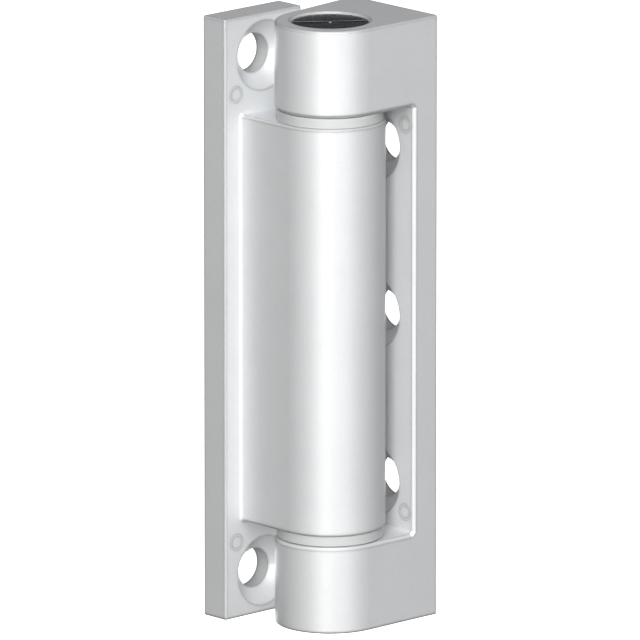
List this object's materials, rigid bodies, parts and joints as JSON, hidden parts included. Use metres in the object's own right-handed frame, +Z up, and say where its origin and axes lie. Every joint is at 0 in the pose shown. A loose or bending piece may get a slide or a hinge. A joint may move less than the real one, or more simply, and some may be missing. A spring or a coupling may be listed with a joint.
{
  "type": "screw-on hinge",
  "caption": "Upright die-cast screw-on hinge: a fixed leaf with the centre knuckle and a swing leaf with the end knuckles turn about a capped pin.",
  "frame": {"origin": "centre of the fixed leaf's mounting face", "axes": "+Z up along the pin, +Y out of the fixed leaf's mounting face, +X out of the swing leaf's mounting face at rest"},
  "size_m": [0.0279, 0.0257, 0.1],
  "materials": {
    "leaf_paint": "light silver grey powder coat on a zinc die casting, satin",
    "pin_steel": "ground steel",
    "bush_plastic": "light grey low-friction plastic, turned smooth",
    "cap_plastic": "black moulded plastic, satin"
  },
  "bodies": {
    "fixed_side": {"fixed_leaf": "leaf_paint", "upper_flanged_bush": "bush_plastic", "lower_flanged_bush": "bush_plastic"},
    "swing_side": {"swing_leaf": "leaf_paint", "hinge_pin": "pin_steel", "upper_cap": "cap_plastic", "lower_cap": "cap_plastic"}
  },
  "joints": [
    {"name": "leaf_swing", "type": "hinge", "parent": "fixed_side", "child": "swing_side", "pos_m": [0.004, -0.0167, 0], "axis": [0, 0, 1], "range_deg": [-186, 14]}
  ]
}
